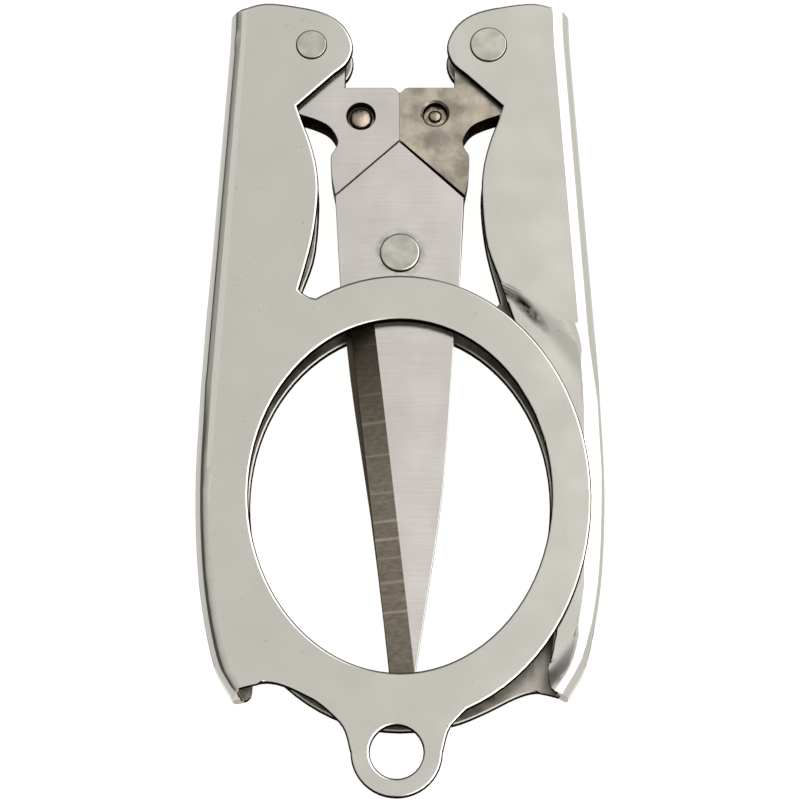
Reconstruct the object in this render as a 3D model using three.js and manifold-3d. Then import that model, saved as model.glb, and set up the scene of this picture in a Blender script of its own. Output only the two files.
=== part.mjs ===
// Folding pocket scissors, folded flat. Millimetres, +Z up, origin under the middle of the part.
// Two halves are laid back to back, turned half a turn about +Y from each other: each half is a blade
// with its shank, and a handle folded from one sheet that swings on a rivet at the shank's end.
import * as THREE from "three";
import { mergeVertices } from "three/addons/utils/BufferGeometryUtils.js";
import Module from "manifold-3d";

const wasm = await Module();
wasm.setup();

// Where the middle of the drawing below lies in the part's own frame.
const BASE_Z = 2.6;
const CENTRE_Y = -1.36;

// Sheet and plate thicknesses. Heights are measured from the middle plane between the two blades.
const SHEET = 0.8;
const CHANNEL_HALF = 2.4;
const CHANNEL_INSIDE = CHANNEL_HALF - SHEET;
const SHANK_HALF = 1.5;
const BLADE_FACE = 1.25;
const BLADE_BACK = 0.05;
const LAP_GAP = 0.18;
const RUNNING_GAP = 0.05;
const HEAD_GAP = 0.02;

// Pivots.
const MAIN_PIVOT = [0, 14.5];
const MAIN_RIVET = { shaft: 1.2, head: 1.86, proud: 0.3 };
const HANDLE_PIVOT = [-8.28, 34.73];
const HANDLE_RIVET = { shaft: 0.95, small: 1.46, large: 1.74, proud: 0.2 };
const TANG_RADIUS = 3.3;

// Finger ring and keyring tab. The ring's ellipses are a little out of centre with each other.
const RING_OUTER = { y: -8.89, radii: [17.2, 20.85] };
const RING_INNER = { y: -8.74, radii: [13.62, 16.42] };
const TAB = { x: -0.3, y: -32.24, hole: 2.36, outer: 4.06 };

// The folded channel: its outer bend, and the recess pressed in it for the other handle's ring.
const BEND_RADIUS = 1.5;
const RECESS_DEPTH = 0.85;
const RECESS_CLEAR = 1.2;
const RECESS_EDGE = 0.9;
const RECESS_FROM = 10;
const RECESS_FADE = 0.3;
const WALL_END = -3.9;
const STEP_ROWS = 6;
const BEND_STEPS = 5;

// Outline of the spine, from the head to the tail.
const SPINE = [
  [-15.8, 39.6], [-15.86, 37.9], [-15.95, 34.7], [-16.5, 26], [-17.2, 15.4], [-17.8, 7], [-18.2, 0],
  [-18.45, -8], [-18.15, -15], [-17.5, -20], [-16.6, -24], [-15.7, -25.9], [-14.6, -27.6],
];
const SPINE_STATIONS = 46;

// Round head of the handle, then its hooked notch.
const HEAD = [
  [-15.3, 38.2], [-12.7, 39.0], [-9.2, 38.6], [-6.8, 37.9], [-5.2, 36.6], [-4.4, 34.7], [-4.85, 33.0],
  [-6.15, 31.8],
];
const NOTCH = [-9.56, 28.6];
// Cuts outside the spine at the head and at the tail, and the seam hidden in the ring plate.
const HEAD_CUT = [[-20, 37.4], [-15.86, 37.9]];
const TAIL_CUT = [[-15.2, -27.3], [-20, -27.3]];
const RING_SEAM = [[-8.9, 10.25], [-8.35, 9.9], [-7.7, 9.75], [-9, 6], [-11, -10], [-9, -24]];
// Waisted inner edges: of the wall that carries the ring, and of the strip on the other side.
const RING_WALL_WAIST = [
  NOTCH, [-9.03, 27.0], [-8.3, 25.0], [-7.69, 22.4], [-7.54, 19.6], [-8.03, 15.4], [-9.24, 10.6],
];
const STRIP_WAIST = [
  NOTCH, [-9.03, 27.0], [-8.3, 25.0], [-7.69, 22.4], [-7.54, 19.6], [-7.87, 15.4], [-8.7, 12.6],
  [-9.7, 10.2], [-10.6, 7.2], [-11.9, 4.0], [-13.3, 0.0], [-14.1, -6], [-14.3, -13], [-14.0, -19],
  [-13.5, -23],
];
const STRIP_TAIL = [[-13.15, -24.7], [-13.35, -26.5], [-14.5, -27.1]];
// Lower edges of the ring wall: down to the keyring tab, or along the bare ring.
const TAB_FLANK = [
  [-4.42, -32.1], [-4.95, -30.2], [-6.03, -28.9], [-7.64, -27.6], [-9.79, -26.55], [-11.3, -26.1],
  [-12.6, -26.15], [-14.24, -26.55],
];
const BARE_FLANK = [
  [-2.0, -29.6], [-3.6, -29.35], [-5.4, -28.95], [-7.64, -28.0], [-9.79, -26.9], [-11.3, -26.3],
  [-12.6, -26.15], [-14.24, -26.55],
];

// Shank: shoulder at the closed stop, tang round the rivet, and the beak that stops the folded handle.
const SHOULDER_Y = 30.8;
const SHOULDER_ROUND = 0.7;
const TANG_ROOT = [[-5.13, SHOULDER_Y], [-5.1, 33.4]];
const STOP_X = -0.14;
const LAP_PEAK_Y = 25.66;
const LAP_CORNER = [-6.0, 20.1];
const BEAK = [
  [-11.0, 32.9], [-13.6, 31.5], [-14.7, 30.4], [-14.3, 29.6], [-12.0, 28.9], [-9.37, 28.1],
  [-7.65, 27.5], [-6.51, 26.8], [-5.8, 25.5], [-6.07, 24.6], [-6.42, 23.9], [-6.35, 22.0], LAP_CORNER,
];

// Blade: its ricasso, then a straight cutting edge and a back that meet in a blunt tip. The front
// blade has a bowed back, and the rear one is narrower.
const RICASSO = [5.45, 10.6];
const EDGE_TOP = [-4.78, 10];
const EDGE_LOW = [-0.5, -28.2];
const FRONT_BACK = [[5.15, 8.6], [4.9, 5.7], [3.95, -7.3], [2.45, -18], [0.86, -28.2]];
const REAR_BACK = [[5.15, 8.6], [4.85, 5.7], [4.25, 0.7], [2.55, -11], [1.2, -22.4], [0.7, -28.2]];
const TIP = [[0.5, -28.7], [-0.1, -28.7]];
const GRIND = { width: 2.15, top: 8.9, land: 0.12 };

// Pins set in the shanks, with the radius of their holes.
const LEFT_PIN = { x: -3.64, y: 27.93, radius: 1.34, stub: 1.02, collar: 0.7, dome: 1.2 };
const RIGHT_PIN = { x: -3.28, y: 28.2, radius: 1.15, stub: 0.6, collar: 0.6, dome: 1.0 };

// Facets round a circle and round the finger ring, and a half-height that reaches past every piece.
const ROUND = 32;
const RING_ROUND = 88;
const PAST = 4;

// ---- shapes ------------------------------------------------------------------------------------

function points(list) {
  return list.map(([x, y]) => new THREE.Vector2(x, y));
}

function curve(list, steps) {
  return new THREE.SplineCurve(points(list)).getPoints(steps);
}

function ellipse(cx, cy, rx, ry, from = 0, to = 2 * Math.PI, steps = ROUND) {
  return new THREE.EllipseCurve(cx, cy, rx, ry, from, to).getPoints(steps);
}

function circle(cx, cy, radius) {
  return ellipse(cx, cy, radius, radius).slice(0, -1);
}

function smooth(t) {
  return t * t * (3 - 2 * t);
}

// Drops points that repeat the one before, so that joined outlines triangulate cleanly.
function outline(...runs) {
  const all = runs.flat();
  return all.filter((p, i) => p.distanceTo(all[(i + all.length - 1) % all.length]) > 1e-3);
}

// ---- solids ------------------------------------------------------------------------------------

function solid(geometry) {
  geometry.deleteAttribute("normal");
  geometry.deleteAttribute("uv");
  const merged = mergeVertices(geometry.index ? geometry.toNonIndexed() : geometry, 1e-4);
  return new wasm.Manifold(new wasm.Mesh({
    numProp: 3,
    vertProperties: merged.attributes.position.array,
    triVerts: new Uint32Array(merged.index.array),
  }));
}

function prism(shapePoints, low, high) {
  const shape = new THREE.Shape(shapePoints);
  const geometry = new THREE.ExtrudeGeometry(shape, { depth: high - low, bevelEnabled: false });
  return solid(geometry.translate(0, 0, low));
}

function turned(profile, [x, y]) {
  const geometry = new THREE.LatheGeometry(points(profile), ROUND);
  geometry.rotateX(Math.PI / 2);
  return solid(geometry.translate(x, y, 0));
}

// Joins closed sections, each a list of [x, y, z] with the same count, and caps both ends.
function loft(sections) {
  const count = sections[0].length;
  const position = sections.flat(2);
  const index = [];
  for (let s = 0; s + 1 < sections.length; s++) {
    for (let i = 0; i < count; i++) {
      const a = s * count + i;
      const b = s * count + ((i + 1) % count);
      index.push(a, b, a + count, b, b + count, a + count);
    }
  }
  const cap = (section) => THREE.ShapeUtils.triangulateShape(section.map(([x, , z]) =>
    new THREE.Vector2(x, z)), []);
  const last = (sections.length - 1) * count;
  for (const [a, b, c] of cap(sections[0])) index.push(a, c, b);
  for (const [a, b, c] of cap(sections[sections.length - 1])) index.push(last + a, last + b, last + c);
  const geometry = new THREE.BufferGeometry();
  geometry.setAttribute("position", new THREE.Float32BufferAttribute(position, 3));
  geometry.setIndex(index);
  return solid(geometry);
}

// ---- handle ------------------------------------------------------------------------------------

// Across the step in the strip: 0 where it is pressed in fully, 1 where it is not pressed at all. The
// step is steep at the strip's inner edge and fades out towards the spine.
function rise(x, y) {
  const [a, b] = RING_OUTER.radii;
  const outside = (Math.hypot(x / a, (y - RING_OUTER.y) / b) - 1) * (a + b) / 2;
  const width = RECESS_EDGE + RECESS_FADE * Math.max(0, Math.abs(x) - RECESS_FROM);
  return THREE.MathUtils.clamp((outside - RECESS_CLEAR) / width, 0, 1);
}

// Where the step reaches a given height along one station, between the strip's free end and its bend.
function riseX(y, level, free, bend) {
  let [low, high] = [free, bend];
  for (let i = 0; i < 24; i++) {
    const middle = (low + high) / 2;
    if (rise(middle, y) < level) low = middle;
    else high = middle;
  }
  return low;
}

// Places across one wall: its free end, the foot to the top of the step, then the start of the bend.
function wallPlaces(y, bend) {
  const least = 0.02;
  const places = [WALL_END];
  for (let i = 0; i <= STEP_ROWS; i++) {
    const level = THREE.MathUtils.lerp(0.001, 0.999, i / STEP_ROWS);
    const room = bend + least * (STEP_ROWS + 1 - i);
    places.push(Math.max(room, Math.min(riseX(y, level, WALL_END, bend), places[i] - least)));
  }
  return [...places, bend];
}

// One wall of the channel's section from its free end to the middle of the spine, as [x, y, z].
function wallSection(spineX, y, sheetOffset, pressed) {
  const radius = BEND_RADIUS - sheetOffset;
  const bendX = spineX + BEND_RADIUS;
  const bendZ = CHANNEL_HALF - BEND_RADIUS;
  const height = (x) => radius - (pressed ? RECESS_DEPTH * (1 - smooth(rise(x, y))) : 0);
  const wall = wallPlaces(y, bendX).map((x) => [x, y, bendZ + height(x)]);
  for (let i = 1; i <= BEND_STEPS; i++) {
    const angle = (Math.PI / 2) * (i / BEND_STEPS);
    wall.push([bendX - radius * Math.sin(angle), y, bendZ + height(bendX) * Math.cos(angle)]);
  }
  return wall;
}

// The U-shaped section of the sheet at one station of the spine: ring wall up, strip down.
function channelSection({ x, y }) {
  const below = (wall) => wall.map(([px, py, pz]) => [px, py, -pz]);
  const outside = wallSection(x, y, 0, false).concat(below(wallSection(x, y, 0, true)).reverse());
  const inside = wallSection(x, y, SHEET, false).concat(below(wallSection(x, y, SHEET, true)).reverse());
  return outside.concat(inside.reverse());
}

// The folded sheet without its ring, cut to the outlines of its two walls.
function channel(flank) {
  const walls = loft(curve(SPINE, SPINE_STATIONS).map(channelSection));
  const head = [...points(HEAD_CUT), ...curve(HEAD, 28), ...points([NOTCH])];
  const tail = points(TAIL_CUT);
  const besideRing = [...curve(RING_WALL_WAIST, 24), ...points(RING_SEAM), ...curve(flank.slice(3), 12)];
  const ringWall = outline(head, besideRing, tail);
  const strip = outline(head, curve(STRIP_WAIST, 40), curve(STRIP_TAIL, 8), tail);
  return walls.intersect(prism(ringWall, 0, PAST).add(prism(strip, -PAST, 0)));
}

function ringOutline({ y, radii }) {
  return ellipse(0, y, ...radii, 0, 2 * Math.PI, RING_ROUND).slice(0, -1);
}

// Flat ring with the fillet that runs into the ring wall's tail.
function ringPlate(flank) {
  const inside = points([RING_SEAM[5], [-2, RING_INNER.y - RING_INNER.radii[1]]]);
  const fillet = outline(curve(flank.slice(0, 5), 14), inside);
  return prism(ringOutline(RING_OUTER), CHANNEL_INSIDE, CHANNEL_HALF)
    .add(prism(fillet, CHANNEL_INSIDE, CHANNEL_HALF));
}

// Rounded tab below the ring, with one of its flanks mirrored from the other.
function keyringTab() {
  const left = curve(TAB_FLANK.slice(0, 5), 14);
  const right = left.map((p) => new THREE.Vector2(2 * TAB.x - p.x, p.y));
  const end = ellipse(TAB.x, TAB.y, TAB.outer, TAB.outer, Math.PI, 2 * Math.PI, 24);
  const neck = outline([...left].reverse(), end, right, points([[2, -24]]));
  return prism(neck, CHANNEL_INSIDE, CHANNEL_HALF);
}

function handle(withTab) {
  const flank = withTab ? TAB_FLANK : BARE_FLANK;
  const openings = [
    prism(ringOutline(RING_INNER), 0, PAST),
    prism(circle(...HANDLE_PIVOT, HANDLE_RIVET.shaft + RUNNING_GAP), -PAST, PAST),
  ];
  let body = channel(flank).add(ringPlate(flank));
  if (withTab) {
    body = body.add(keyringTab());
    openings.push(prism(circle(TAB.x, TAB.y, TAB.hole), 0, PAST));
  }
  return openings.reduce((kept, opening) => kept.subtract(opening), body);
}

// ---- blade and shank ---------------------------------------------------------------------------

// Full-thickness shank: the shoulder at the closed stop, the tang round its rivet, and the beak.
function shank(pinHole) {
  const [rx, ry] = HANDLE_PIVOT;
  const r = SHOULDER_ROUND;
  const plan = outline(
    points([[STOP_X, LAP_PEAK_Y - 0.1]]),
    ellipse(STOP_X - r, SHOULDER_Y - r, r, r, 0, Math.PI / 2, 6),
    points(TANG_ROOT),
    ellipse(rx, ry, TANG_RADIUS, TANG_RADIUS, 0, 1.15 * Math.PI, 24),
    curve(BEAK, 40),
  );
  return prism(plan, -SHANK_HALF, SHANK_HALF)
    .subtract(prism(circle(pinHole.x, pinHole.y, pinHole.radius), -PAST, PAST))
    .subtract(prism(circle(rx, ry, HANDLE_RIVET.shaft + RUNNING_GAP), -PAST, PAST));
}

// Half-thick blade: a five-sided lap over the other half, then the tapering blade itself. Beside the
// other shank's diagonal it stands back by the lap gap, and it reaches a little way into its own shank.
function bladePlate(back) {
  const intoShank = [
    [LAP_CORNER[0] + 0.2, LAP_CORNER[1] + 0.6], [STOP_X - 0.3, LAP_PEAK_Y], [STOP_X, LAP_PEAK_Y - 0.2],
  ];
  const farCorner = new THREE.Vector2(-LAP_CORNER[0], LAP_CORNER[1]);
  const diagonal = new THREE.Vector2(farCorner.x, farCorner.y - LAP_PEAK_Y).normalize();
  farCorner.add(new THREE.Vector2(diagonal.y, -diagonal.x).multiplyScalar(LAP_GAP));
  const plan = outline(
    points(intoShank),
    [farCorner],
    points([RICASSO]),
    curve(back, 12),
    points([...TIP, EDGE_LOW, EDGE_TOP, [-RICASSO[0], RICASSO[1]], LAP_CORNER]),
  );
  return prism(plan, BLADE_BACK, BLADE_FACE);
}

// Wedge that grinds the cutting edge: it slopes from the face down to a thin land at the edge.
function grinding() {
  const edge = new THREE.Vector3(EDGE_LOW[0] - EDGE_TOP[0], EDGE_LOW[1] - EDGE_TOP[1], 0);
  const along = edge.clone().normalize();
  const inward = new THREE.Vector3(-along.y, along.x, 0);
  const low = BLADE_BACK + GRIND.land;
  const slope = (BLADE_FACE - low) / GRIND.width;
  const wedge = new THREE.Shape(points([
    [-1, low - slope], [GRIND.width + 1, BLADE_FACE + slope], [-1, BLADE_FACE + slope],
  ]));
  const start = (EDGE_TOP[1] - GRIND.top) / -along.y;
  const geometry = new THREE.ExtrudeGeometry(wedge, { depth: edge.length() + 4, bevelEnabled: false });
  const place = new THREE.Matrix4().makeBasis(inward, new THREE.Vector3(0, 0, 1), along);
  place.setPosition(EDGE_TOP[0] + along.x * start, EDGE_TOP[1] + along.y * start, 0);
  return solid(geometry.applyMatrix4(place));
}

function blade(pinHole, back) {
  const [px, py] = MAIN_PIVOT;
  return shank(pinHole)
    .add(bladePlate(back).subtract(grinding()))
    .subtract(prism(circle(px, py, MAIN_RIVET.shaft + RUNNING_GAP), -PAST, PAST));
}

// ---- rivets and pins ---------------------------------------------------------------------------

// A rivet: a shaft between two flat heads with softened rims, each given as [radius, seat height].
function rivet(place, shaft, front, back, proud) {
  const rim = 0.12;
  const head = ([radius, seat]) => [
    [shaft, seat], [radius, seat], [radius, seat + proud - rim], [radius - rim, seat + proud],
    [0, seat + proud],
  ];
  const upper = head(front);
  const lower = head(back).map(([x, y]) => [x, -y]).reverse();
  return turned(lower.concat(upper), place);
}

function mainRivet() {
  const seat = BLADE_FACE + HEAD_GAP;
  const { shaft, head, proud } = MAIN_RIVET;
  return rivet(MAIN_PIVOT, shaft, [head, seat], [head, seat], proud);
}

function handleRivet() {
  const seat = CHANNEL_HALF + HEAD_GAP;
  const { shaft, small, large, proud } = HANDLE_RIVET;
  return rivet(HANDLE_PIVOT, shaft, [small, seat], [large, seat], proud - HEAD_GAP);
}

// A pin set below the shank's faces, with a smaller domed stub at each end.
function shankPin({ x, y, radius, stub, collar, dome }) {
  const body = radius - RUNNING_GAP;
  const rim = 0.25;
  const end = [
    [body, collar], [stub, collar], [stub, dome - rim], [stub * 0.75, dome - rim / 3], [0, dome],
  ];
  const lower = end.map(([px, pz]) => [px, -pz]).reverse();
  return turned(lower.concat(end), [x, y]);
}

// ---- assembly ----------------------------------------------------------------------------------

const PLATED = { color: 0xc9c5bd, roughness: 0.18, metalness: 1 };
const GROUND = { color: 0xcdc7c1, roughness: 0.25, metalness: 1 };
const TUMBLED = { color: 0x8b857a, roughness: 0.42, metalness: 1 };
const RIVET = { color: 0xc4bfb7, roughness: 0.22, metalness: 1 };

function mesh(name, body, finish) {
  const { vertProperties, triVerts, numProp } = body.getMesh();
  if (numProp !== 3) throw new Error(name + " carries more than positions");
  const geometry = new THREE.BufferGeometry();
  geometry.setAttribute("position", new THREE.BufferAttribute(vertProperties, 3));
  geometry.setIndex(new THREE.BufferAttribute(triVerts, 1));
  geometry.computeVertexNormals();
  const made = new THREE.Mesh(geometry, new THREE.MeshStandardMaterial(finish));
  made.name = name;
  return made;
}

const frontHalf = new THREE.Group();
frontHalf.add(
  mesh("front_blade", blade(LEFT_PIN, FRONT_BACK), GROUND),
  mesh("left_shank_pin", shankPin(LEFT_PIN), TUMBLED),
  mesh("left_handle", handle(true), PLATED),
  mesh("left_handle_rivet", handleRivet(), RIVET),
  mesh("pivot_rivet", mainRivet(), RIVET),
);

const rearHalf = new THREE.Group();
rearHalf.rotation.y = Math.PI;
rearHalf.add(
  mesh("rear_blade", blade(RIGHT_PIN, REAR_BACK), TUMBLED),
  mesh("right_shank_pin", shankPin(RIGHT_PIN), TUMBLED),
  mesh("right_handle", handle(false), PLATED),
  mesh("right_handle_rivet", handleRivet(), RIVET),
);

const scissors = new THREE.Group();
scissors.position.set(0, CENTRE_Y, BASE_Z);
scissors.add(frontHalf, rearHalf);

export default scissors;
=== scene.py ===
"""Folding pocket scissors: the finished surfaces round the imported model, laid out as an add-on."""

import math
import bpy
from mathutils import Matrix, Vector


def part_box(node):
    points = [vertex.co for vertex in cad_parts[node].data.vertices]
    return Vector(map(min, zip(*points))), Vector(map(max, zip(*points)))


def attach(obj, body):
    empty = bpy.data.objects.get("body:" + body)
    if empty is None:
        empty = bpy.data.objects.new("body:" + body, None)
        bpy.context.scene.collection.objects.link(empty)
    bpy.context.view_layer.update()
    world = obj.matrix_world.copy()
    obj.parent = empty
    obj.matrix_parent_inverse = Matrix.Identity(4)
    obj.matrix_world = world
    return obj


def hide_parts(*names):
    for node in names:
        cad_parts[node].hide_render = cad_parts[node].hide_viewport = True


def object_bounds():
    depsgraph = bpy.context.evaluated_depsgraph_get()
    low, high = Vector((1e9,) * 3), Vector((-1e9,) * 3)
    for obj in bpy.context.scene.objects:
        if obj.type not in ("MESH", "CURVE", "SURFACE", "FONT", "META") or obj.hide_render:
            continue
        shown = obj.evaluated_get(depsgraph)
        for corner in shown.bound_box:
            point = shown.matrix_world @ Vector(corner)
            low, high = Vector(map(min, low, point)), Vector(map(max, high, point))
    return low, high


bl_info = {
    "name": "Folding Pocket Scissors",
    "version": (1, 0, 0),
    "blender": (4, 5, 0),
    "location": "3D View > Sidebar > Scissors",
    "description": "Finishes the blades, handles, rivets and pins of a pair of folding scissors",
    "category": "Object",
}

import bmesh
import bpy
from mathutils import Vector

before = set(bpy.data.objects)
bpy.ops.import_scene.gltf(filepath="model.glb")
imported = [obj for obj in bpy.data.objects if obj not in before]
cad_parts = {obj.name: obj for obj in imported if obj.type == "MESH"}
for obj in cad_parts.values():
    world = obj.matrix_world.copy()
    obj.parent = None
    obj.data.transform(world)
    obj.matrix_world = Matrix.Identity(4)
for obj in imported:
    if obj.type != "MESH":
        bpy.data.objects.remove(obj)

MM = 0.001
FOLDED_BOX = [list(corner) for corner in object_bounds()]
LOW, HIGH = (Vector(corner) for corner in FOLDED_BOX)
MIDDLE_Z = (LOW.z + HIGH.z) / 2

# Two faces that meet at more than the first angle may be rounded, and at more than the second they keep
# a crease in the shading.
ROUNDED_ANGLE = math.radians(35)
SMOOTH_ANGLE = math.radians(25)

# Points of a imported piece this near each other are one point, and faces that meet at less than this angle
# are one face.
WELD_DISTANCE = 0.004 * MM
FLAT_ANGLE = math.radians(0.4)

# A level face larger than this shades as a plain flat. LEVEL is the least upright share of its normal.
LARGE_FLAT = 12 * MM * MM
LEVEL = 0.99


# ---- settings a user would change ---------------------------------------------------------------


def linear(code):
    """The linear colour of an sRGB hex code."""
    channels = [int(code[i : i + 2], 16) / 255 for i in (1, 3, 5)]
    return tuple(c / 12.92 if c <= 0.04045 else ((c + 0.055) / 1.055) ** 2.4 for c in channels)


def length(name, description, default):
    return bpy.props.FloatProperty(
        name=name, description=description, default=default * MM, min=0, unit="LENGTH"
    )


def colour(name, description, code):
    return bpy.props.FloatVectorProperty(
        name=name, description=description, default=linear(code), subtype="COLOR", min=0, max=1
    )


class ScissorsSizes(bpy.types.PropertyGroup):
    sheet_edge: length("Sheet edge", "Rounding of the handles' polished sheet edges", 0.24)
    blade_edge: length("Blade edge", "Rounding of the blades' ground side", 0.09)
    die_roll: length("Die roll", "Rounding that stamping leaves on the shanks' inner side", 0.34)
    hole_edge: length("Hole edge", "Chamfer at the mouth of the pin hole, on the inner side", 0.2)
    rivet_edge: length("Rivet edge", "Rounding of the rivet heads' rims", 0.11)


class ScissorsColours(bpy.types.PropertyGroup):
    plated: colour("Plated sheet", "Bright plating of the handles", "#B5B2AA")
    # The spine colour is painted shade that draws a dark line along the handles' silhouettes.
    spine: colour("Spine", "Unpolished plating along the handles' spine, darkened with painted shade", "#6C675E")
    # The colour painted as shade in the pressed step.
    step_shade: colour("Step shade", "Painted shade in the pressed step", "#17140F")
    inside: colour("Inside", "Dull plating inside the handles' fold", "#9C978D")
    # The sheared colour is painted shade, for dark outlines along the sheet's cut edges and rims.
    sheared: colour("Sheared edge", "Cut edges of the handle sheet, darkened with painted shade", "#1F1B16")
    ground: colour("Ground steel", "Outer flats of the blades", "#B1ADA7")
    bevel: colour("Ground bevel", "Bevel beside the cutting edge", "#8B8273")
    # The dark bevel colour is painted shade on the bevel near the pivot.
    bevel_shade: colour("Dark bevel", "Painted shade on the bevel near the pivot", "#353028")
    tumbled: colour("Tumbled steel", "Inner side of the shanks", "#9A9284")
    # The blade inside colour is painted shade on the inner side of the blades.
    blade_inside_shade: colour("Blade inside", "Painted shade on the inner side of the blades", "#332E27")
    # The blank colour is painted shade, for dark outlines round the blades.
    blank: colour("Blank edge", "Sheared edges of the blades, darkened with painted shade", "#463E34")
    rivet: colour("Rivet", "Rivet heads", "#A4A197")
    pin: colour("Pin", "Pins in the shanks", "#978C7C")
    floor: colour("Floor", "Light table under the scissors", "#F4F4F2")


# ---- small helpers ------------------------------------------------------------------------------


def add(tree, kind, settings=None, **links):
    """Adds a node, sets its properties or input values, and links sockets given by input name."""
    node = tree.nodes.new(kind)
    for key, value in (settings or {}).items():
        if hasattr(node, key):
            setattr(node, key, value)
        else:
            node.inputs[key].default_value = value
    for key, socket in links.items():
        tree.links.new(socket, node.inputs[key.replace("_", " ")])
    return node


def new_material(name):
    material = bpy.data.materials.new(name)
    material.use_nodes = True
    material.node_tree.nodes.clear()
    return material, material.node_tree


def object_place(tree):
    return add(tree, "ShaderNodeTexCoord").outputs["Object"]


def rgba(value):
    return (*value, 1.0)


def sharp_edges(bm, chosen):
    return [
        edge for edge in bm.edges
        if len(edge.link_faces) == 2 and edge.calc_face_angle(0) > ROUNDED_ANGLE and chosen(edge)
    ]


def soften(bm, width, segments, chosen=lambda edge: True, clamp=True):
    """Rounds the sharp edges that chosen() picks."""
    bmesh.ops.bevel(
        bm, geom=sharp_edges(bm, chosen), offset=width, offset_type="OFFSET", segments=segments,
        profile=0.5, affect="EDGES", material=-1, clamp_overlap=clamp, loop_slide=True,
    )


def node_copy(node):
    """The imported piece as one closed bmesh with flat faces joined."""
    bm = bmesh.new()
    bm.from_mesh(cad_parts[node].data)
    bmesh.ops.remove_doubles(bm, verts=bm.verts, dist=WELD_DISTANCE)
    bmesh.ops.dissolve_limit(
        bm, angle_limit=FLAT_ANGLE, verts=bm.verts, edges=bm.edges, use_dissolve_boundaries=False
    )
    return bm


def finished_mesh(name, bm, materials):
    """A mesh made from a bmesh, which it frees, with its materials in the order of their numbers."""
    mesh = bpy.data.meshes.new(name)
    bm.to_mesh(mesh)
    bm.free()
    for material in materials:
        mesh.materials.append(material)
    return mesh


def new_object(name, data):
    thing = bpy.data.objects.new(name, data)
    bpy.context.scene.collection.objects.link(thing)
    return thing


def place_piece(name, bm, materials, body, node):
    """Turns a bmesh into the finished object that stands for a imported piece."""
    mesh = finished_mesh(name, bm, materials)
    mesh.shade_smooth()
    mesh.set_sharp_from_angle(angle=SMOOTH_ANGLE)
    for polygon in mesh.polygons:
        if polygon.area > LARGE_FLAT and abs(polygon.normal.z) > LEVEL:
            for corner in polygon.loop_indices:
                mesh.edges[mesh.loops[corner].edge_index].use_edge_sharp = True
    piece = new_object(name, mesh)
    weighted = piece.modifiers.new("Even shading", "WEIGHTED_NORMAL")
    weighted.keep_sharp = True
    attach(piece, body)
    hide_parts(node)
    return piece


# ---- materials ----------------------------------------------------------------------------------

# How far painted shade lies round the pressed step, along it, across it and upwards, and how far the blades
# darken round the pivot. The pivot reach's great height lets it ignore Z.
STEP_SHADE_REACH = Vector((3.4, 0.7, 1.3)) * MM
PIVOT_DARKENING_REACH = Vector((2.5, 2.5, 1000)) * MM

# How bright sheared steel stays at a grazing angle, as a share of bare metal. Kept low, it paints shade on
# the dark edges.
SHADED_EDGE_RIM = 0.08

# A ring pattern of scale 1 repeats over this length. The tool that faced the rivets left this pitch.
RING_REPEAT = 0.314
FACING_PITCH = 0.16 * MM


def stretched_noise(tree, place, cycles, stretch, detail=2.0):
    """Noise with the given cycles to a millimetre, drawn out along the axes whose stretch is large."""
    mapping = add(tree, "ShaderNodeMapping", {"Scale": [cycles / (MM * s) for s in stretch]}, Vector=place)
    noise = add(
        tree, "ShaderNodeTexNoise", {"Scale": 1.0, "Detail": detail}, Vector=mapping.outputs["Vector"]
    )
    return noise.outputs["Fac"]


def spread(tree, value, low, high, start=0.3, end=0.7):
    """A pattern's middle range stretched to run from low to high."""
    ramp = add(
        tree, "ShaderNodeMapRange",
        {"From Min": start, "From Max": end, "To Min": low, "To Max": high}, Value=value,
    )
    return ramp.outputs["Result"]


def mixed(tree, factor, first, second):
    """A colour between two others, each a colour value or a socket."""
    mix = add(tree, "ShaderNodeMix", {"data_type": "RGBA"}, Factor=factor)
    for value, socket in ((first, mix.inputs[6]), (second, mix.inputs[7])):
        if isinstance(value, bpy.types.NodeSocket):
            tree.links.new(value, socket)
        else:
            socket.default_value = rgba(value)
    return mix.outputs[2]


def product(tree, first, second):
    times = add(tree, "ShaderNodeMath", {"operation": "MULTIPLY"})
    tree.links.new(first, times.inputs[0])
    tree.links.new(second, times.inputs[1])
    return times.outputs["Value"]


def lengthwise(tree, place):
    """The coordinate that runs from the tip of the folded scissors to their head."""
    return add(tree, "ShaderNodeSeparateXYZ", Vector=place).outputs["Y"]


def distance(tree, place, centre, reach, turn=0.0):
    """Distance from a centre, 1 at the reach along each axis of a frame turned about Z."""
    mapping = add(
        tree, "ShaderNodeMapping",
        {"vector_type": "TEXTURE", "Location": centre, "Rotation": (0, 0, turn), "Scale": reach},
        Vector=place,
    )
    away = add(tree, "ShaderNodeVectorMath", {"operation": "LENGTH"}, Vector=mapping.outputs["Vector"])
    return away.outputs["Value"]


def metal(tree, tint, roughness, height, depth, rim=1.0):
    """Finishes a metal from colour, roughness and relief sockets; a low rim keeps its grazing view dark."""
    bump = add(tree, "ShaderNodeBump", {"Strength": 1.0, "Distance": depth * MM}, Height=height)
    shader = add(
        tree, "ShaderNodeBsdfPrincipled", {"Metallic": 1.0, "Specular Tint": rgba((rim, rim, rim))},
        Base_Color=tint, Roughness=roughness, Normal=bump.outputs["Normal"],
    )
    output = add(tree, "ShaderNodeOutputMaterial")
    tree.links.new(shader.outputs["BSDF"], output.inputs["Surface"])


def darker(value, share):
    return tuple(channel * share for channel in value)


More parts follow.
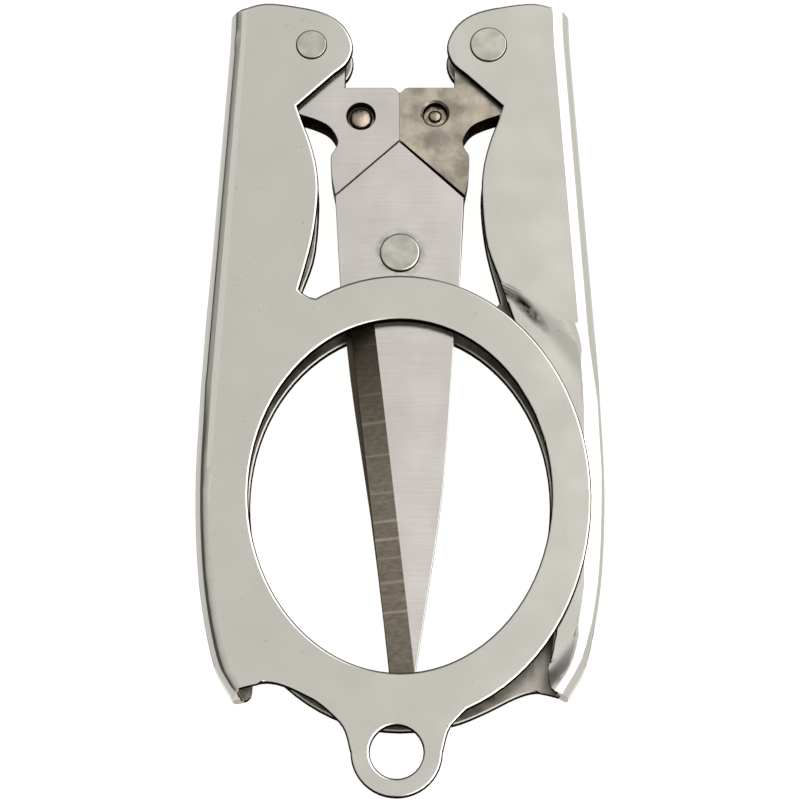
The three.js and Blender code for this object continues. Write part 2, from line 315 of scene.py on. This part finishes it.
def plated_sheet(name, tint, step_shade, step, turn):
    """Bright nickel-chrome on sheet steel: a warm grey mirror, hazy, with painted shade in the pressed
    step.
    """
    material, tree = new_material(name)
    place = object_place(tree)
    haze = stretched_noise(tree, place, 0.25, (1, 1, 1))
    specks = stretched_noise(tree, place, 4.0, (1, 1, 1), detail=0.0)
    polish = stretched_noise(tree, place, 3.0, (1, 12, 1))
    step_shade_mottle = stretched_noise(tree, place, 1.3, (1, 1, 1), detail=4.0)
    # Painted shade darkens the plating round the pressed step, broken up by noise.
    away = distance(tree, place, step, STEP_SHADE_REACH, turn)
    near = spread(tree, away, 1.0, 0.0, 0.25, 1.0)
    step_shade_share = product(tree, near, spread(tree, step_shade_mottle, 0.5, 1.0, 0.35, 0.5))
    undarkened = mixed(tree, spread(tree, specks, 0.0, 1.0, 0.76, 0.84), tint, darker(tint, 0.8))
    metal(tree, mixed(tree, step_shade_share, undarkened, step_shade), spread(tree, haze, 0.1, 0.17), polish, 0.0008)
    return material


def dull_plating(name, tint, depth):
    """Plating that no polishing wheel reached: grey-brown and satin, mottled, with faint rolling lines. On
    the spine its dark tint is painted shade.
    """
    material, tree = new_material(name)
    place = object_place(tree)
    mottle = stretched_noise(tree, place, 0.6, (1, 1, 1), detail=4.0)
    rolling = stretched_noise(tree, place, 2.5, (1, 10, 1))
    colour = mixed(tree, spread(tree, mottle, 0.0, 1.0), darker(tint, 0.7), tint)
    metal(tree, colour, spread(tree, mottle, 0.26, 0.4), rolling, depth)
    return material


def sheared_edge_with_painted_shade(name, tint):
    """Sheared steel under hardly any plating, with upright tear marks through the sheet; its near-black
    tint is painted shade.
    """
    material, tree = new_material(name)
    place = object_place(tree)
    tears = stretched_noise(tree, place, 5.0, (1, 1, 7), detail=3.0)
    patches = stretched_noise(tree, place, 0.7, (1, 1, 1))
    colour = mixed(tree, spread(tree, patches, 0.0, 1.0), darker(tint, 0.5), tint)
    metal(tree, colour, spread(tree, tears, 0.3, 0.5), tears, 0.02, rim=SHADED_EDGE_RIM)
    return material


def ground_steel(tint, pivot):
    """Surface-ground and lightly plated steel: pale satin, hair lines across it, darker in blotches round
    the pivot.
    """
    material, tree = new_material("Ground blade steel")
    place = object_place(tree)
    lines = stretched_noise(tree, place, 7.0, (30, 1, 1))
    haze = stretched_noise(tree, place, 0.3, (1, 1.5, 1))
    pivot_blotches = stretched_noise(tree, place, 1.2, (1, 1, 1), detail=3.0)
    away = distance(tree, place, pivot, PIVOT_DARKENING_REACH)
    near = spread(tree, away, 1.0, 0.0, 0.7, 1.0)
    pivot_darkened = product(tree, near, spread(tree, pivot_blotches, 0.0, 1.0, 0.35, 0.6))
    undarkened = mixed(tree, spread(tree, lines, 0.0, 1.0, 0.35, 0.75), tint, darker(tint, 0.93))
    base = mixed(tree, pivot_darkened, undarkened, darker(tint, 0.45))
    metal(tree, base, spread(tree, haze, 0.18, 0.25), lines, 0.0012)
    return material


def ground_bevel(tint, dark, top, bottom):
    """Edge bevel off a coarse wheel: olive grey, darkened with painted shade near the pivot, scored from
    edge to face.
    """
    material, tree = new_material("Coarse-ground bevel steel")
    place = object_place(tree)
    scores = stretched_noise(tree, place, 3.0, (40, 1, 1), detail=4.0)
    bright = stretched_noise(tree, place, 1.1, (40, 1, 40), detail=1.0)
    # Painted shade darkens the bevel towards the pivot.
    undarkened = spread(tree, lengthwise(tree, place), 1.0, 0.0, bottom, top)
    grain = mixed(tree, spread(tree, scores, 0.0, 1.0), darker(tint, 0.7), darker(tint, 1.15))
    scored = mixed(tree, spread(tree, bright, 1.0, 0.0, 0.6, 0.7), darker(tint, 1.9), grain)
    colour = mixed(tree, undarkened, dark, scored)
    metal(tree, colour, spread(tree, scores, 0.3, 0.45), scores, 0.008)
    return material


def tumbled_steel(tint, dark, top, bottom):
    """Barrel-tumbled blank steel: grey-brown and mottled with dents, with painted shade down the hidden
    blade.
    """
    material, tree = new_material("Tumbled blade steel")
    place = object_place(tree)
    mottle = stretched_noise(tree, place, 0.55, (1, 1, 1), detail=5.0)
    dents = stretched_noise(tree, place, 1.6, (1, 1, 1), detail=3.0)
    # Painted shade darkens the inner side below the shank.
    shade = spread(tree, lengthwise(tree, place), 0.0, 1.0, bottom, top)
    mottled = mixed(tree, spread(tree, mottle, 0.0, 1.0, 0.35, 0.65), darker(tint, 0.5), tint)
    colour = mixed(tree, shade, dark, mottled)
    metal(tree, colour, spread(tree, dents, 0.26, 0.42), dents, 0.012)
    return material


def turned_head(name, tint, centre):
    """Plated rivet head: pale grey with faint rings from the tool that faced it, round its own centre."""
    material, tree = new_material(name)
    place = object_place(tree)
    centred = add(tree, "ShaderNodeMapping", {"Location": -centre, "Scale": (1, 1, 0)}, Vector=place)
    rings = add(
        tree, "ShaderNodeTexWave",
        {"wave_type": "RINGS", "rings_direction": "Z", "Scale": RING_REPEAT / FACING_PITCH,
         "Distortion": 0.6, "Detail": 2.0, "Detail Scale": 2.0},
        Vector=centred.outputs["Vector"],
    ).outputs["Fac"]
    haze = stretched_noise(tree, place, 0.8, (1, 1, 1))
    colour = mixed(tree, spread(tree, haze, 0.0, 1.0), darker(tint, 0.86), tint)
    metal(tree, colour, spread(tree, haze, 0.17, 0.28), rings, 0.0004)
    return material


def pin_steel(tint):
    """Drawn pin with a peened end: brown-grey and mottled, dimpled by the punch."""
    material, tree = new_material("Peened pin steel")
    place = object_place(tree)
    dimples = add(tree, "ShaderNodeTexVoronoi", {"Scale": 2.4 / MM}, Vector=place).outputs["Distance"]
    mottle = stretched_noise(tree, place, 1.5, (1, 1, 1), detail=3.0)
    colour = mixed(tree, spread(tree, mottle, 0.0, 1.0), darker(tint, 0.45), tint)
    metal(tree, colour, spread(tree, mottle, 0.24, 0.4), dimples, 0.02)
    return material


# ---- pieces -------------------------------------------------------------------------------------


def node_centre(node):
    low, high = (Vector(corner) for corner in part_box(node))
    return (low + high) / 2


# The finishes of a handle, in the order of its materials.
PLATED, SHADED_SPINE, INSIDE, SHEARED_SHADE = range(4)

# The middle of the pressed step, with its height above the middle plane, and the way that the step
# runs, for a handle whose spine lies towards +X.
STEP_CENTRE = Vector((11.6, 7.6, 1.8)) * MM
STEP_TURN = math.radians(-50)

# Square edges are kept at the spine's lower end, which lies past this point, and this near to a rivet.
TAIL_END = Vector((13.1, -25.8, 0)) * MM
RIVET_REACH = 2 * MM

# Points nearer than this are joined before the handles' rims are rounded. A rim runs beside a flat of at
# least this area, and its cut wall leans no further than this upright share of its normal.
SHORTEST_EDGE = 0.05 * MM
RIM_AREA = 2 * MM * MM
WALL_LEAN = 0.3
RIM_SEGMENTS = 5

# Distances across from the middle of the part, in mm, past which a face belongs to the outside or to the
# inside of the spine, and the two between which the step lies.
SPINE_OUTSIDE = 14.2
SPINE_INSIDE = 13.6
STEP_FROM, STEP_TO = 9.2, 14.5

# Just over half the height inside the fold, and where the step lies along the handle and off its middle.
FOLD_HALF = 1.62 * MM
STEP_ABOVE_Y = 2 * MM
STEP_BELOW = 1.2 * MM

# Shares of a face's normal: towards the outside where the bend begins and where the flat of the spine
# does, towards the inside within the fold, and upright on a plate and on the slope of the step.
BEND_FACING = 0.25
SPINE_FACING = 0.94
FOLD_FACING = 0.2
PLATE_UPRIGHT = 0.8
STEP_UPRIGHT = 0.3


def sheet_finish(normal, centre, side):
    """The finish of one face of a handle. The side is 1 where the spine lies towards -X, or else -1."""
    above = centre.z - MIDDLE_Z
    across = side * centre.x / MM
    outwards = -side * normal.x
    looks_out = normal.z * above > 0
    if across < -SPINE_OUTSIDE and outwards > BEND_FACING:
        # The flat of the spine takes the spine finish, painted shade for a dark outline.
        return SHADED_SPINE if outwards > SPINE_FACING else PLATED
    if across < -SPINE_INSIDE and outwards < -FOLD_FACING and abs(above) < FOLD_HALF:
        return INSIDE
    on_step = -STEP_TO < across < -STEP_FROM and centre.y > STEP_ABOVE_Y and side * above < -STEP_BELOW
    if abs(normal.z) > (STEP_UPRIGHT if on_step and looks_out else PLATE_UPRIGHT):
        return PLATED if looks_out else INSIDE
    # Walls and the steeper part of each rounded rim take the sheared finish, whose dark tint is painted
    # shade.
    return SHEARED_SHADE


def plate_rim(edge, rivet):
    """Whether an edge runs between a flat and a sheared wall, clear of the rivet and the spine's end."""
    wall, flat = sorted(edge.link_faces, key=lambda face: abs(face.normal.z))
    if flat.calc_area() < RIM_AREA or abs(flat.normal.z) < LEVEL or abs(wall.normal.z) > WALL_LEAN:
        return False
    return all(
        (vert.co.y > TAIL_END.y or abs(vert.co.x) < TAIL_END.x)
        and (vert.co - rivet).xy.length > RIVET_REACH
        for vert in edge.verts
    )


class ScissorsHandles(bpy.types.Operator):
    """Finish both folded sheet handles"""

    bl_idname = "scissors.handles"
    bl_label = "Handles"

    def execute(self, context):
        sizes, colours = context.scene.scissors_sizes, context.scene.scissors_colours
        # The spine plating's dark tint is painted shade.
        spine = dull_plating("Unpolished spine plating with painted shade", colours.spine, 0.003)
        inside = dull_plating("Dull plating inside the fold", colours.inside, 0.006)
        cut = sheared_edge_with_painted_shade("Sheared sheet edge with painted shade", colours.sheared)
        for name, side in (("left_handle", 1), ("right_handle", -1)):
            step = Vector((-side * STEP_CENTRE.x, STEP_CENTRE.y, MIDDLE_Z - side * STEP_CENTRE.z))
            title = "Nickel-chrome plated sheet of the " + name.replace("_", " ")
            plated = plated_sheet(title, colours.plated, colours.step_shade, step, -side * STEP_TURN)
            materials = [plated, spine, inside, cut]
            bm = node_copy(name)
            bmesh.ops.remove_doubles(bm, verts=bm.verts, dist=SHORTEST_EDGE)
            bm.normal_update()
            rivet = node_centre(name + "_rivet")
            soften(bm, sizes.sheet_edge, RIM_SEGMENTS, lambda edge: plate_rim(edge, rivet), clamp=False)
            bm.normal_update()
            for face in bm.faces:
                face.material_index = sheet_finish(face.normal, face.calc_center_median(), side)
            place_piece(name + "_sheet", bm, materials, name, name)
        return {"FINISHED"}


class ScissorsBlades(bpy.types.Operator):
    """Finish both blades with their shanks"""

    bl_idname = "scissors.blades"
    bl_label = "Blades"

    def execute(self, context):
        sizes, colours = context.scene.scissors_sizes, context.scene.scissors_colours
        pivot = node_centre("pivot_rivet")
        tumbled_above, shaded_below = pivot.y + 9 * MM, pivot.y + 2 * MM
        # Painted shade covers the bevel above the first height and fades out by the second.
        bevel_shaded_above, bevel_unshaded_below = pivot.y - 6 * MM, pivot.y - 22 * MM
        materials = [
            ground_steel(colours.ground, pivot),
            tumbled_steel(colours.tumbled, colours.blade_inside_shade, tumbled_above, shaded_below),
            ground_bevel(colours.bevel, colours.bevel_shade, bevel_shaded_above, bevel_unshaded_below),
            sheared_edge_with_painted_shade("Sheared blade blank edge with painted shade", colours.blank),
        ]
        for node, body, pin, out in (
            ("front_blade", "front_half", "left_shank_pin", 1),
            ("rear_blade", "rear_half", "right_shank_pin", -1),
        ):
            bm = node_copy(node)
            finish_blade(bm, sizes, node_centre(pin), out)
            place_piece(node + "_steel", bm, materials, body, node)
        return {"FINISHED"}


# The finishes of a blade, in the order of its materials.
GROUND, TUMBLED, BEVEL, BLANK_SHADE = range(4)

# The gap left between the shanks' stop faces, and the points that are moved to leave it: those this near
# the middle of the part, down to this far below the pin.
STOP_GAP = 0.02 * MM
STOP_REACH = 0.2 * MM
STOP_BELOW_PIN = 3 * MM

# The mouth of the pin hole lies within this reach of the pin. Rims further than these heights from the
# middle plane are a shank's inner rims and a blade's outer ones.
PIN_REACH = 1.6 * MM
INNER_HEIGHT = 1.4 * MM
OUTER_HEIGHT = 0.6 * MM

# The edge bevel's share of its normal outwards along Z, give or take the tolerance, and the least share
# across.
BEVEL_FACING = 0.893
BEVEL_TOLERANCE = 0.03
BEVEL_ACROSS = 0.3

# The least share of a ground face's normal outwards, on the shank, down to this far below the pin, and on
# the blade beyond, where the grinding runs over the rounded rims.
SHANK_BELOW_PIN = 9 * MM
SHANK_FACING = 0.95
BLADE_FACING = 0.5


def finish_blade(bm, sizes, pin, out):
    """Chamfers, die roll and finishes of one blade. Its ground side faces up if out is 1, down if -1."""

    def heights(edge):
        return [(vert.co.z - MIDDLE_Z) * out for vert in edge.verts]

    def at_pin(edge):
        return all((vert.co - pin).xy.length < PIN_REACH for vert in edge.verts)

    def inner_rim(edge):
        return all(z < -INNER_HEIGHT for z in heights(edge))

    def outer_rim(edge):
        return all(z > OUTER_HEIGHT for z in heights(edge))

    for vert in bm.verts:
        if abs(vert.co.x) < STOP_REACH and vert.co.y > pin.y - STOP_BELOW_PIN:
            vert.co.x = math.copysign(STOP_GAP / 2, vert.co.x)
    soften(bm, sizes.hole_edge, 1, lambda edge: inner_rim(edge) and at_pin(edge), clamp=False)
    soften(bm, sizes.die_roll, 4, lambda edge: inner_rim(edge) and not at_pin(edge))
    soften(bm, sizes.blade_edge, 2, outer_rim)
    bm.normal_update()
    # Rounded rims and walls that are not ground take the blank finish, whose dark tint is painted shade as
    # an outline.
    for face in bm.faces:
        facing = face.normal.z * out
        on_shank = face.calc_center_median().y > pin.y - SHANK_BELOW_PIN
        on_bevel = abs(facing - BEVEL_FACING) < BEVEL_TOLERANCE and face.normal.x * out < -BEVEL_ACROSS
        if on_bevel:
            face.material_index = BEVEL
        elif facing > (SHANK_FACING if on_shank else BLADE_FACING):
            face.material_index = GROUND
        else:
            face.material_index = TUMBLED if facing < -BLADE_FACING else BLANK_SHADE


# The finishes of a rivet, and the upright share of the normal past which a face is on its head.
HEAD, HEAD_RIM_SHADE = range(2)
HEAD_UPRIGHT = 0.75


class ScissorsRivets(bpy.types.Operator):
    """Finish the pivot rivet and both handle rivets"""

    bl_idname = "scissors.rivets"
    bl_label = "Rivets"

    def execute(self, context):
        sizes, colours = context.scene.scissors_sizes, context.scene.scissors_colours
        # The rivet rims' dark finish is painted shade.
        rim = sheared_edge_with_painted_shade("Rivet rim with painted shade", colours.blank)
        for node, body in (
            ("pivot_rivet", "front_half"),
            ("left_handle_rivet", "left_handle"),
            ("right_handle_rivet", "right_handle"),
        ):
            bm = node_copy(node)
            soften(bm, sizes.rivet_edge, 4)
            title = node.replace("_", " ").capitalize() + " plating"
            plated = turned_head(title, colours.rivet, node_centre(node))
            bm.normal_update()
            for face in bm.faces:
                face.material_index = HEAD if abs(face.normal.z) > HEAD_UPRIGHT else HEAD_RIM_SHADE
            place_piece(node + "_steel", bm, [plated, rim], body, node)
        return {"FINISHED"}


class ScissorsPins(bpy.types.Operator):
    """Finish the pins in the shanks"""

    bl_idname = "scissors.pins"
    bl_label = "Pins"

    def execute(self, context):
        sizes, colours = context.scene.scissors_sizes, context.scene.scissors_colours
        steel = pin_steel(colours.pin)
        for side, body in (("left", "front_half"), ("right", "rear_half")):
            node = side + "_shank_pin"
            bm = node_copy(node)
            soften(bm, sizes.rivet_edge, 4)
            place_piece(node + "_steel", bm, [steel], body, node)
        return {"FINISHED"}


# ---- stage --------------------------------------------------------------------------------------

VIEW_TILT = math.radians(17)
VIEW_DISTANCE = 300 * MM
VIEW_LENS = 149.2
SENSOR_WIDTH = 36
NEAREST_SEEN = 0.01

# The camera aims this far short of the middle of the part, and this far below its top.
AIM_SHORT = 1.36 * MM
AIM_BELOW = 0.2 * MM

FLOOR_SIZE = 6.0
FLOOR_GLOW = 1.08

# The tunnel of light keeps its full brightness up to the first share of its length, and from the second
# one on it has only this part of it.
TUNNEL_FULL, TUNNEL_DIM = 0.5, 0.75
MOUTH_LIGHT = 0.2

# Strip lights overhead: brightness from the far left, at -1, past the zenith at 0, to the far right.
STRIPS = [
    (-1.0, 0.12), (-0.9, 0.14), (-0.845, 0.57), (-0.77, 0.78), (-0.6, 0.95), (-0.4, 1.15), (-0.2, 1.35),
    (-0.08, 1.09), (0.0, 1.14), (0.1, 1.26), (0.15, 3.8), (0.82, 3.8), (0.88, 1.2), (1.0, 1.1),
]


def world_light(scene):
    """A tunnel of soft strip lights along the scissors, brightest on the right and darker at its mouths."""
    world = bpy.data.worlds.new("Studio")
    scene.world = world
    world.use_nodes = True
    tree = world.node_tree
    tree.nodes.clear()
    place = add(tree, "ShaderNodeTexCoord").outputs["Generated"]
    axes = add(tree, "ShaderNodeSeparateXYZ", Vector=place).outputs
    ramp = add(tree, "ShaderNodeValToRGB", Fac=spread(tree, axes["X"], 0.0, 1.0, -1.0, 1.0))
    elements = ramp.color_ramp.elements
    while len(elements) < len(STRIPS):
        elements.new(0.5)
    for element, (position, light) in zip(elements, STRIPS):
        element.position = (position + 1) / 2
        element.color = (light, light, light, 1)
    along = add(tree, "ShaderNodeMath", {"operation": "ABSOLUTE"})
    tree.links.new(axes["Y"], along.inputs[0])
    inside = spread(tree, along.outputs["Value"], 1.0, MOUTH_LIGHT, TUNNEL_FULL, TUNNEL_DIM)
    background = add(tree, "ShaderNodeBackground", Color=ramp.outputs["Color"], Strength=inside)
    output = add(tree, "ShaderNodeOutputWorld")
    tree.links.new(background.outputs["Background"], output.inputs["Surface"])


def light_table(tint):
    """Opal acrylic lit from below, as a product table has: an even white ground with hardly a shadow."""
    material, tree = new_material("Opal acrylic light table")
    shader = add(
        tree, "ShaderNodeBsdfPrincipled",
        {"Base Color": rgba(darker(tint, 0.06)), "Roughness": 0.8, "Emission Color": rgba(tint),
         "Emission Strength": FLOOR_GLOW},
    )
    output = add(tree, "ShaderNodeOutputMaterial")
    tree.links.new(shader.outputs["BSDF"], output.inputs["Surface"])
    return material


class ScissorsStage(bpy.types.Operator):
    """Lay the pale floor, hang the soft light and set the camera"""

    bl_idname = "scissors.stage"
    bl_label = "Stage"

    def execute(self, context):
        scene = context.scene
        bm = bmesh.new()
        bmesh.ops.create_grid(bm, x_segments=1, y_segments=1, size=FLOOR_SIZE / 2)
        opal = light_table(scene.scissors_colours.floor)
        floor = new_object("floor", finished_mesh("floor", bm, [opal]))
        world_light(scene)
        scene.view_settings.view_transform = "Standard"

        target = Vector((0, (LOW.y + HIGH.y) / 2 - AIM_SHORT, HIGH.z - AIM_BELOW))
        camera = new_object("camera", bpy.data.cameras.new("camera"))
        camera.data.sensor_width = SENSOR_WIDTH
        camera.data.lens = VIEW_LENS
        camera.data.clip_start = NEAREST_SEEN
        back = Vector((0, -math.sin(VIEW_TILT), math.cos(VIEW_TILT)))
        camera.location = target + back * VIEW_DISTANCE
        camera.rotation_euler = (VIEW_TILT, 0, 0)
        scene.camera = camera
        return {"FINISHED"}


class ScissorsPanel(bpy.types.Panel):
    """Sizes, colours and the pieces in order"""

    bl_idname = "VIEW3D_PT_scissors"
    bl_label = "Folding scissors"
    bl_space_type = "VIEW_3D"
    bl_region_type = "UI"
    bl_category = "Scissors"

    def draw(self, context):
        layout = self.layout
        for group in (context.scene.scissors_sizes, context.scene.scissors_colours):
            box = layout.box()
            for key in group.bl_rna.properties.keys():
                if key not in ("rna_type", "name"):
                    box.prop(group, key)
        for operator in OPERATORS:
            layout.operator(operator.bl_idname)


OPERATORS = (ScissorsStage, ScissorsHandles, ScissorsBlades, ScissorsRivets, ScissorsPins)
CLASSES = (ScissorsSizes, ScissorsColours, *OPERATORS, ScissorsPanel)


def register():
    for cls in CLASSES:
        bpy.utils.register_class(cls)
    bpy.types.Scene.scissors_sizes = bpy.props.PointerProperty(type=ScissorsSizes)
    bpy.types.Scene.scissors_colours = bpy.props.PointerProperty(type=ScissorsColours)


def unregister():
    del bpy.types.Scene.scissors_colours
    del bpy.types.Scene.scissors_sizes
    for cls in reversed(CLASSES):
        bpy.utils.unregister_class(cls)


def main():
    register()
    bpy.ops.scissors.stage()
    bpy.ops.scissors.handles()
    bpy.ops.scissors.blades()
    bpy.ops.scissors.rivets()
    bpy.ops.scissors.pins()


if __name__ == "__main__":
    main()
